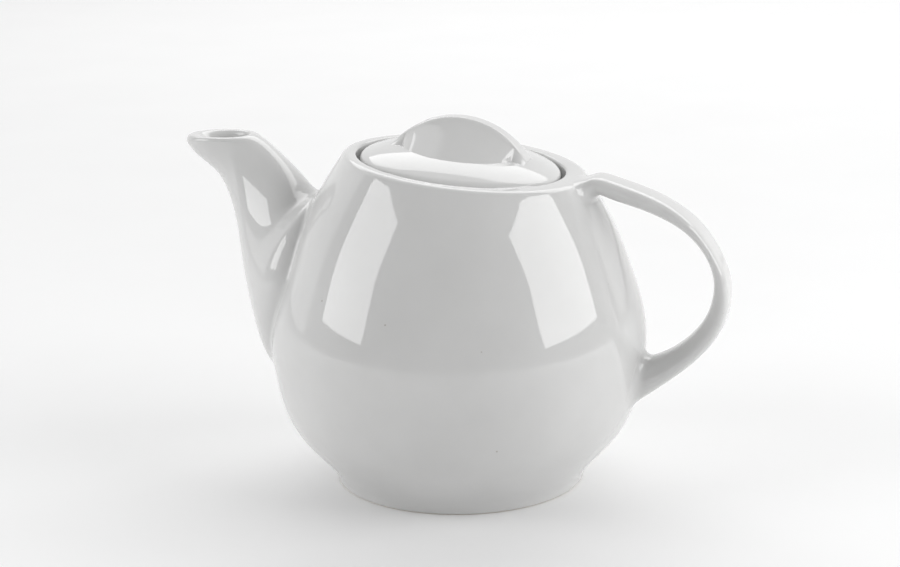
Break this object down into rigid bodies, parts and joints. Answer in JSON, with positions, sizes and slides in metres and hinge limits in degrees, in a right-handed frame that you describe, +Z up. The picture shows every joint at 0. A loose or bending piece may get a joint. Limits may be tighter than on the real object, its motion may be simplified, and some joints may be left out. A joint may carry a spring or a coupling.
{
  "type": "teapot",
  "caption": "Round-bellied white porcelain teapot with a beaked spout, a loop handle and a lift-off lid with a fin-shaped knob.",
  "frame": {"origin": "centre of the foot, on the surface that the pot stands on", "axes": "+Z up, +X towards the handle, -X towards the spout; XZ is the plane of symmetry"},
  "size_m": [0.1928, 0.1294, 0.1267],
  "materials": {
    "pot_porcelain": "glossy clear glaze over white porcelain",
    "lid_porcelain": "glossy clear glaze over white porcelain"
  },
  "bodies": {
    "pot": {"pot_body": "pot_porcelain", "spout_strainer": "pot_porcelain", "spout": "pot_porcelain", "handle": "pot_porcelain"},
    "lid": {"lid_cover": "lid_porcelain", "lid_knob": "lid_porcelain", "lid_flange": "lid_porcelain", "lid_lug": "lid_porcelain"}
  },
  "joints": [
    {"name": "lid_lift", "type": "slide", "parent": "pot", "child": "lid", "axis": [0.1106, 0, 0.9939], "range_m": [0, 0.055]}
  ]
}
